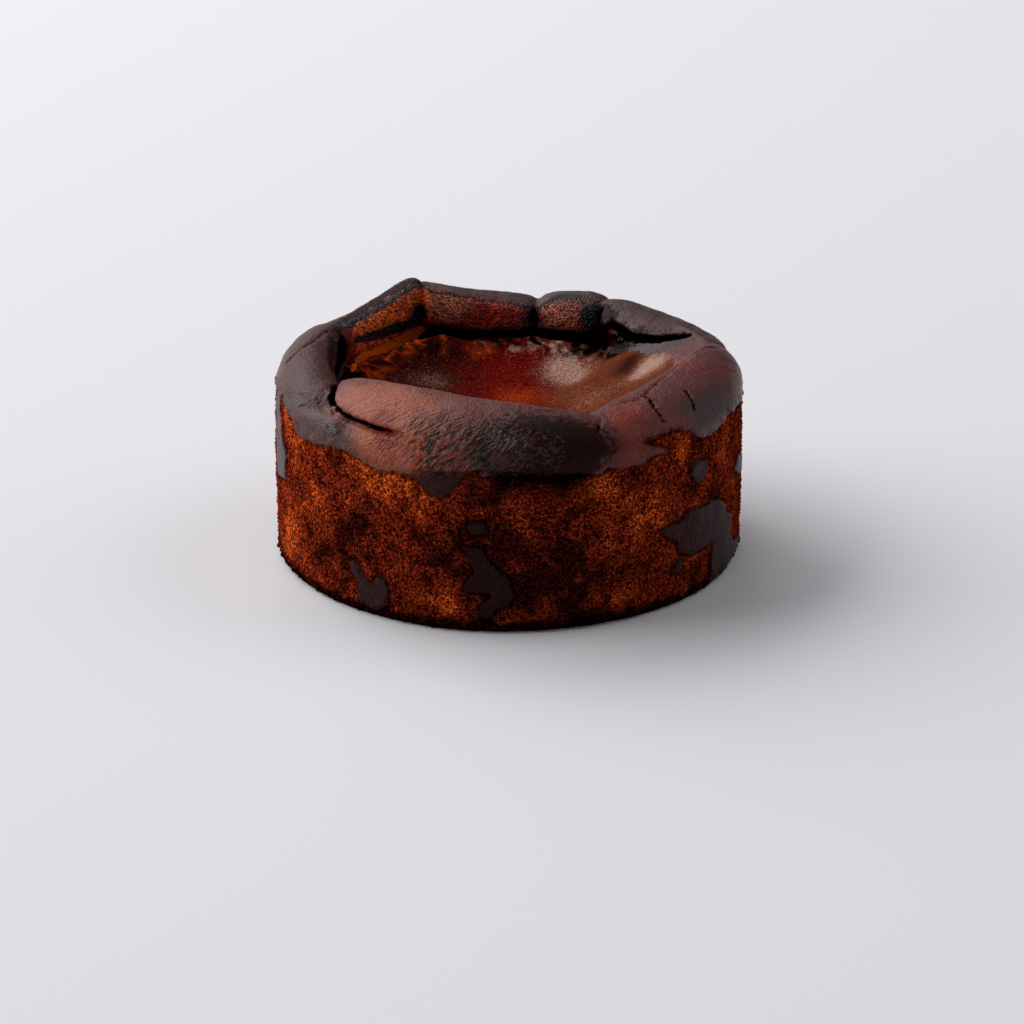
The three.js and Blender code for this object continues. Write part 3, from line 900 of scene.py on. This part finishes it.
class Recipe:
    """The nodes of one material or node group, laid out in the order they are made."""

    def __init__(self, tree):
        self.tree = tree

    def node(self, kind, feeds, output=0, **settings):
        made = self.tree.nodes.new("ShaderNode" + kind)
        made.location = (180 * (len(self.tree.nodes) % 12), -220 * (len(self.tree.nodes) // 12))
        for name, value in settings.items():
            setattr(made, name, value)
        for key, value in feeds.items():
            self.feed(made.inputs[key], value)
        return made.outputs[output]

    def feed(self, socket, value):
        if isinstance(value, bpy.types.NodeSocket):
            self.tree.links.new(value, socket)
        else:
            socket.default_value = value

    def times(self, a, b):
        return self.node("Math", {0: a, 1: b}, operation="MULTIPLY")

    def plus(self, a, b):
        return self.node("Math", {0: a, 1: b}, operation="ADD")

    def fade(self, value, low, high):
        """0 below low, 1 above high, smooth between."""
        feeds = {"Value": value, "From Min": low, "From Max": high}
        return self.node("MapRange", feeds, interpolation_type="SMOOTHSTEP")

    def spread(self, value, low, high):
        """A 0-1 value stretched to low-high."""
        return self.node("MapRange", {"Value": value, "To Min": low, "To Max": high})

    def blend(self, share, one, other, how="MIX"):
        feeds = {"Factor": share, 6: one, 7: other}
        return self.node("Mix", feeds, output=2, data_type="RGBA", blend_type=how)

    def between(self, share, one, other):
        return self.node("Mix", {"Factor": share, 2: one, 3: other}, data_type="FLOAT")

    def noise(self, where, size, detail=2.0, warp=0.0):
        feeds = {"Vector": where, "Scale": 1 / (size * MM), "Detail": detail, "Distortion": warp}
        return self.node("TexNoise", feeds, output="Fac")

    def cells(self, where, size, output="Distance"):
        return self.node("TexVoronoi", {"Vector": where, "Scale": 1 / (size * MM)}, output=output)

    def grains(self, where, size):
        """Round grains set close together."""
        return self.fade(self.cells(where, size), 0.8, 0.2)

    def speckle(self, where, size):
        return self.fade(self.noise(where, size), 0.36, 0.64)

    def brighten(self, colour, amount):
        """A colour times a plain number."""
        grey = self.node("CombineColor", {i: amount for i in range(3)})
        return self.blend(1.0, colour, grey, "MULTIPLY")

    def painted(self, name):
        return self.node("Attribute", {}, output="Fac", attribute_name=name)

    def stained(self, colour, stains):
        """A colour under stains: each a paint, what it wanders by, its low and high, and its tint."""
        for name, wander, low, high, tint in stains:
            share = self.fade(self.plus(self.painted(name), wander), low, high)
            colour = self.blend(share, colour, tint)
        return colour

    def grouped(self, tree, feeds):
        """The outputs of a node group placed here."""
        return self.node("Group", feeds, node_tree=tree).node.outputs


FINISH_IN = {"Place": "Vector"}
FINISH_OUT = {"Colour": "Color", "Roughness": "Float", "Height": "Float"}
EDGE_IN = {"Place": "Vector", "Distance": "Float", "Ragged": "Float"}


def node_group(recipe, takes, gives):
    """A node group with the name and the contents of a recipe function."""
    group = bpy.data.node_groups.new(recipe.__name__, "ShaderNodeTree")
    for way, sockets in (("INPUT", takes), ("OUTPUT", gives)):
        for name, kind in sockets.items():
            group.interface.new_socket(name, in_out=way, socket_type="NodeSocket" + kind)
    inlet, outlet = group.nodes.new("NodeGroupInput"), group.nodes.new("NodeGroupOutput")
    r = Recipe(group)
    for name, value in zip(gives, recipe(r, *[inlet.outputs[name] for name in takes])):
        r.feed(outlet.inputs[name], value)
    return group


def burnt_skin(r, where):
    """Burnt crust: maroon with grey bloom and painted sheen, light brown and painted highlight, rust, burn
    and painted shade, finely grained and wrinkled.
    """
    clouds = r.noise(where, 7, 3, 0.3)
    grain = r.noise(where, 0.68, 2, 0.5)
    specks = r.noise(where, 1.7)
    slant = {"Rotation": (0, -FOLD_SLANT, 0), "Scale": (4, 1, 1)}
    along_folds = r.node("Mapping", {"Vector": where, **slant}, vector_type="TEXTURE")
    folds = r.noise(along_folds, 1.0, 2, 0.4)
    wrinkled = r.painted("wrinkled")
    wander = r.plus(r.spread(clouds, -0.4, 0.4), r.spread(specks, -0.25, 0.25))
    # Painted light in the stains: the grey bloom is partly sheen, the light brown partly highlight, the
    # burn partly shade.
    colour = r.stained(MAROON, [
        ("ash_and_sheen", wander, 0.15, 0.95, ASH_AND_SHEEN), ("tan_and_highlight", wander, 0.1, 1.0, TAN_AND_HIGHLIGHT),
        ("rust", wander, 0.25, 0.9, RUST), ("char_and_shade", wander, 0.1, 0.9, CHAR_AND_SHADE),
    ])
    colour = r.brighten(colour, r.spread(grain, 0.1, 1.9))
    # Painted shade: the wrinkles' furrows darkened towards black.
    colour = r.blend(r.times(r.fade(folds, 0.54, 0.4), wrinkled), colour, SOOT_AND_SHADE_BLACK)
    # Cracks drawn near black, and hollows and split insides painted black as shade.
    colour = r.stained(colour, [("crack_and_hollow_shade", r.spread(specks, -0.15, 0.15), 0.35, -0.05, SOOT_AND_SHADE_BLACK)])
    creased = r.plus(wrinkled, r.times(r.painted("tan_and_highlight"), 0.2))
    height = r.plus(r.times(grain, 0.36), r.times(specks, 0.26))
    height = r.plus(height, r.times(r.times(folds, creased), 2.8))
    rough = r.plus(r.spread(clouds, 0.32, 0.44), r.times(wrinkled, -0.14))
    return colour, rough, height


def open_crumb(r, where):
    """Baked crumb: tiny close grains with pores darkened as painted shade, orange where it is less burnt.
    """
    clouds = r.spread(r.noise(where, 7, 4, 0.5), -1.7, 1.7)
    grains = r.grains(where, 0.9)
    speckle = r.speckle(where, 0.8)
    pores = r.fade(r.noise(where, 1.8), 0.36, 0.28)
    heat = [("ember", clouds, -0.9, 0.3, CRUMB), ("ember", clouds, 0.1, 1.3, CRUMB_EMBER)]
    colour = r.stained(CRUMB_DARK, heat)
    colour = r.brighten(colour, r.times(r.spread(grains, 0.3, 1.45), r.spread(speckle, 0.35, 1.75)))
    # Painted shade: the pores darkened towards black.
    colour = r.blend(r.times(pores, 0.9), colour, SOOT_AND_SHADE_BLACK)
    colour = r.stained(colour, [("char_and_shade", r.spread(speckle, -0.25, 0.25), 0.1, 0.9, SOOT_AND_SHADE_BLACK)])
    # Painted shadow: the crumb darkened just below the crust's lower edge.
    shade_under_crust_edge = r.fade(r.plus(r.painted("skin"), r.spread(speckle, -0.3, 0.3)), -1.3, -0.2)
    colour = r.blend(r.times(shade_under_crust_edge, 0.6), colour, SOOT_AND_SHADE_BLACK)
    height = r.plus(r.times(grains, 0.42), r.times(speckle, 0.3))
    return colour, 0.95, r.plus(height, r.times(pores, -0.6))


def custard_skin(r, where):
    """The sunken middle: dark orange-red custard skin, glossy and finely dimpled, with painted highlights
    and a painted sheen.
    """
    clouds = r.noise(where, 8, 3, 0.3)
    dimples = r.noise(where, 0.75, 2, 0.4)
    patches = r.spread(clouds, -0.3, 0.3)
    burnt = r.plus(r.spread(clouds, -0.2, 0.2), r.spread(dimples, -0.4, 0.4))
    # Painted light in the stains: a painted sheen at the light right end, and a painted highlight film
    # where wet.
    colour = r.stained(CUSTARD_DARK, [
        ("custard_tone_and_sheen", patches, 0.1, 0.45, CUSTARD), ("custard_tone_and_sheen", patches, 0.58, 0.84, CUSTARD_LIGHT_AND_SHEEN),
        ("rust", r.spread(dimples, -0.3, 0.3), 0.1, 1.0, CUSTARD_AMBER),
        ("moist_and_highlight", r.spread(dimples, -0.6, 0.6), 0.0, 1.1, CUSTARD_PAINTED_HIGHLIGHT),
        ("char_and_shade", burnt, 0.1, 0.9, SOOT_AND_SHADE_BLACK), ("cream", 0.0, 0.3, 0.8, CREAM),
    ])
    # Painted glints and shade: the dimples lighten and darken the colour.
    colour = r.brighten(colour, r.spread(dimples, -0.1, 2.1))
    return colour, r.spread(clouds, 0.24, 0.38), r.times(dimples, 0.5)


def torn_granules(r, where):
    """Torn inside of the crust: damp granules, reddish brown, glinting, with light brown glints painted in.
    """
    clouds = r.noise(where, 5, 3, 0.4)
    grains = r.grains(where, 0.75)
    speckle = r.speckle(where, 1.0)
    heat, patches = r.spread(clouds, -0.7, 0.7), r.spread(clouds, -0.3, 0.3)
    # The light brown stain paints glints on the granules.
    colour = r.stained(TORN_DARK, [
        ("rust", heat, -0.1, 0.6, TORN_RED), ("rust", heat, 0.4, 0.95, TORN_ORANGE),
        ("tan_and_highlight", patches, 0.2, 1.0, TORN_TAN_GLINT), ("char_and_shade", patches, 0.1, 0.9, SOOT_AND_SHADE_BLACK),
    ])
    colour = r.brighten(colour, r.times(r.spread(grains, 0.85, 2.2), r.spread(speckle, 0.5, 1.5)))
    return colour, 0.36, r.plus(r.times(grains, 0.45), r.times(speckle, 0.45))


def torn_edge(r, where, distance, ragged):
    """Turns a distance into a mask with a torn, flaking edge."""
    wander = r.spread(r.noise(where, 2.2, 3), -2.2, 2.2)
    flakes = r.spread(r.cells(where, 1.1, "Color"), -1.3, 1.3)
    edge = r.plus(distance, r.times(r.plus(wander, flakes), ragged))
    return [r.fade(edge, -0.12, 0.12)]


def new_material(name, specular):
    """A material, its shader's inputs, and a recipe for its other nodes."""
    material = bpy.data.materials.new(name)
    material.use_nodes = True
    shader = material.node_tree.nodes["Principled BSDF"]
    shader.inputs["Specular IOR Level"].default_value = specular
    return material, shader.inputs, Recipe(material.node_tree)


SKIN_RAGGED = 0.4


def cake_material(name, specular, groups):
    """All finishes of the cake, each where the paint says, with this one's share of gloss."""
    material, shader, r = new_material(name, specular)
    spot = {"Place": r.node("TexCoord", {}, output="Object")}
    edge = {"Distance": r.painted("skin"), "Ragged": SKIN_RAGGED}
    sunken = r.plus(r.painted("basin"), r.painted("cream"))
    layers = {
        "burnt_skin": r.grouped(groups["torn_edge"], {**spot, **edge})["Mask"],
        "custard_skin": r.fade(sunken, 0.3, 0.7),
    }
    if name in BY_TORN:
        layers["torn_granules"] = r.fade(r.painted("torn"), 0.3, 0.7)
    colour, rough, height = r.grouped(groups["open_crumb"], spot)
    for key, mask in layers.items():
        over = r.grouped(groups[key], spot)
        colour = r.blend(mask, colour, over["Colour"])
        rough = r.between(mask, rough, over["Roughness"])
        height = r.between(mask, height, over["Height"])
    r.feed(shader["Base Color"], colour)
    r.feed(shader["Roughness"], rough)
    r.feed(shader["Normal"], r.node("Bump", {"Height": height, "Distance": MM, "Strength": 1.0}))
    return material


def crumb_material(crumb_group):
    """The loose grains: the wall's own colours, each grain a little lighter or darker."""
    material, shader, r = new_material("loose_crumbs", FINISHES["crumb_wall"])
    crumb = r.grouped(crumb_group, {"Place": r.node("TexCoord", {}, output="Object")})
    r.feed(shader["Base Color"], r.brighten(crumb["Colour"], r.spread(r.painted("shade"), 0.4, 1.9)))
    shader["Roughness"].default_value = 0.9
    return material


def dress(cake):
    """Paints and finishes the cake, and strews the loose crumbs that belong to its wall."""
    found = survey(corners(cake.data))
    paint(cake, found)
    recipes = (burnt_skin, open_crumb, custard_skin, torn_granules)
    groups = {recipe.__name__: node_group(recipe, FINISH_IN, FINISH_OUT) for recipe in recipes}
    groups["torn_edge"] = node_group(torn_edge, EDGE_IN, {"Mask": "Float"})
    cake.data.materials.clear()
    for name, specular in FINISHES.items():
        cake.data.materials.append(cake_material(name, specular, groups))
    share_out(cake, found)
    crumbs = loose_crumbs(cake, found)
    crumbs.data.materials.append(crumb_material(groups["open_crumb"]))
    return crumbs


# ---- loose crumbs

WALL_CRUMBS = 7200              # grains standing proud of the bare wall
FOOT_CRUMBS = 1500              # coarser ones round its foot
WALL_GRAIN = (0.2, 0.42)        # their radii
FOOT_GRAIN = (0.3, 0.75)
FOOT_BAND = 5
GRAIN_STRETCH = (0.65, 1.25)
GRAIN_PROUD = 0.2               # how far its middle stands out, in radii
CRUMB_SEED = 7


def loose_crumbs(cake, found):
    """Grains standing proud of the bare wall, thicker and coarser round its foot."""
    rng = np.random.default_rng(CRUMB_SEED)
    points, normals = corners(cake.data), outward(cake.data)
    _, reach, height = polar(points)
    bare = (found["skin"] < -0.9) & (reach > 68) & (height > 0.8)
    wall = rng.choice(np.flatnonzero(bare), WALL_CRUMBS, replace=False)
    foot = rng.choice(np.flatnonzero(bare & (height < FOOT_BAND)), FOOT_CRUMBS, replace=False)
    chosen = np.concatenate([wall, foot])
    small = rng.uniform(*WALL_GRAIN, WALL_CRUMBS)
    size = np.concatenate([small, rng.uniform(*FOOT_GRAIN, FOOT_CRUMBS)])[:, None]
    bm = bmesh.new()
    bmesh.ops.create_icosphere(bm, subdivisions=1, radius=1)
    grain = np.array([vertex.co[:] for vertex in bm.verts])
    sides = np.array([[vertex.index for vertex in face.verts] for face in bm.faces])
    bm.free()
    axes, _ = np.linalg.qr(rng.normal(size=(len(chosen), 3, 3)))
    axes[:, :, 0] *= np.sign(np.linalg.det(axes))[:, None]
    stretch = rng.uniform(*GRAIN_STRETCH, (len(chosen), 1, 3))
    grains = np.einsum("gij,gvj->gvi", axes, grain[None] * stretch) * size[:, None]
    grains += (points[chosen] + normals[chosen] * size * GRAIN_PROUD)[:, None]
    grains = grains.reshape(-1, 3)
    grains[:, 2] = np.maximum(grains[:, 2], 0.05)
    faces = (sides[None] + len(grain) * np.arange(len(chosen))[:, None, None]).reshape(-1, 3)
    mesh = bpy.data.meshes.new("crumbs")
    mesh.from_pydata((grains * MM).tolist(), [], faces.tolist())
    crumbs = linked("crumbs", mesh)
    kept = {name: found[name][chosen] for name in ("ember", "char_and_shade", "skin")}
    kept["shade"] = rng.uniform(0, 1, len(chosen))
    paint(crumbs, {name: np.repeat(values, len(grain)) for name, values in kept.items()})
    return crumbs


# ---- camera and studio

FRAME_PIXELS = 1024
FOCAL_PIXELS = 4240             # focal length in pixels of that frame
SENSOR = 36
CAMERA_PITCH = math.radians(21.9)
BASE_PIXEL = (509, 542.5)       # where the middle of the cake's base is seen
CAMERA_AWAY = 1.398             # metres from the lens to that point, along the view

SOFTBOX_AWAY = 3.6              # metres
# Each softbox: its direction from the cake, its width and height in metres, its watts.
SOFTBOXES = {
    "key_softbox": ((-0.76, 0.28, 0.59), (4.6, 3.3), 150),
    "back_softbox": ((-0.24, 0.73, 0.64), (2.1, 3.3), 26),
    "right_softbox": ((0.74, 0.2, 0.64), (2.6, 2.6), 24),
}
AIR_COLOUR = (0.95, 0.95, 1.0, 1)
AIR_STRENGTH = 0.15
FLOOR_COLOUR = (0.88, 0.88, 0.91, 1)
FLOOR_HALF = 6                  # metres


def studio_camera():
    data = bpy.data.cameras.new("camera")
    data.sensor_width = SENSOR
    data.lens = FOCAL_PIXELS / FRAME_PIXELS * SENSOR
    data.clip_start, data.clip_end = 0.05, 60
    camera = linked("camera", data)
    camera.rotation_euler = (math.pi / 2 - CAMERA_PITCH, 0, 0)
    aside, down = ((pixel - FRAME_PIXELS / 2) / FOCAL_PIXELS for pixel in BASE_PIXEL)
    away = camera.rotation_euler.to_matrix() @ Vector((-aside, down, 1))
    camera.location = away * CAMERA_AWAY
    bpy.context.scene.camera = camera


def softboxes():
    for name, (direction, size, power) in SOFTBOXES.items():
        data = bpy.data.lights.new(name, "AREA")
        data.shape = "RECTANGLE"
        data.size, data.size_y = size
        data.energy = power
        lamp = linked(name, data)
        towards = Vector(direction).normalized()
        lamp.location = towards * SOFTBOX_AWAY
        lamp.rotation_euler = towards.to_track_quat("Z", "Y").to_euler()


def studio():
    studio_camera()
    softboxes()
    world = bpy.data.worlds.new("studio_air")
    world.use_nodes = True
    backdrop = world.node_tree.nodes["Background"]
    backdrop.inputs["Color"].default_value = AIR_COLOUR
    backdrop.inputs["Strength"].default_value = AIR_STRENGTH
    bpy.context.scene.world = world
    bpy.context.scene.view_settings.view_transform = "Standard"
    bm = bmesh.new()
    bmesh.ops.create_grid(bm, x_segments=1, y_segments=1, size=FLOOR_HALF)
    floor = finished_object("floor", bm)
    coat, shader, _ = new_material("pale_floor", 0.5)
    shader["Base Color"].default_value = FLOOR_COLOUR
    shader["Roughness"].default_value = 0.9
    floor.data.materials.append(coat)


# ---- the scene

studio()
cake = welded_cake()
sculpt(cake)
crumbs = dress(cake)
for piece in (cake, crumbs):
    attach(piece, "root")
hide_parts("cheesecake")
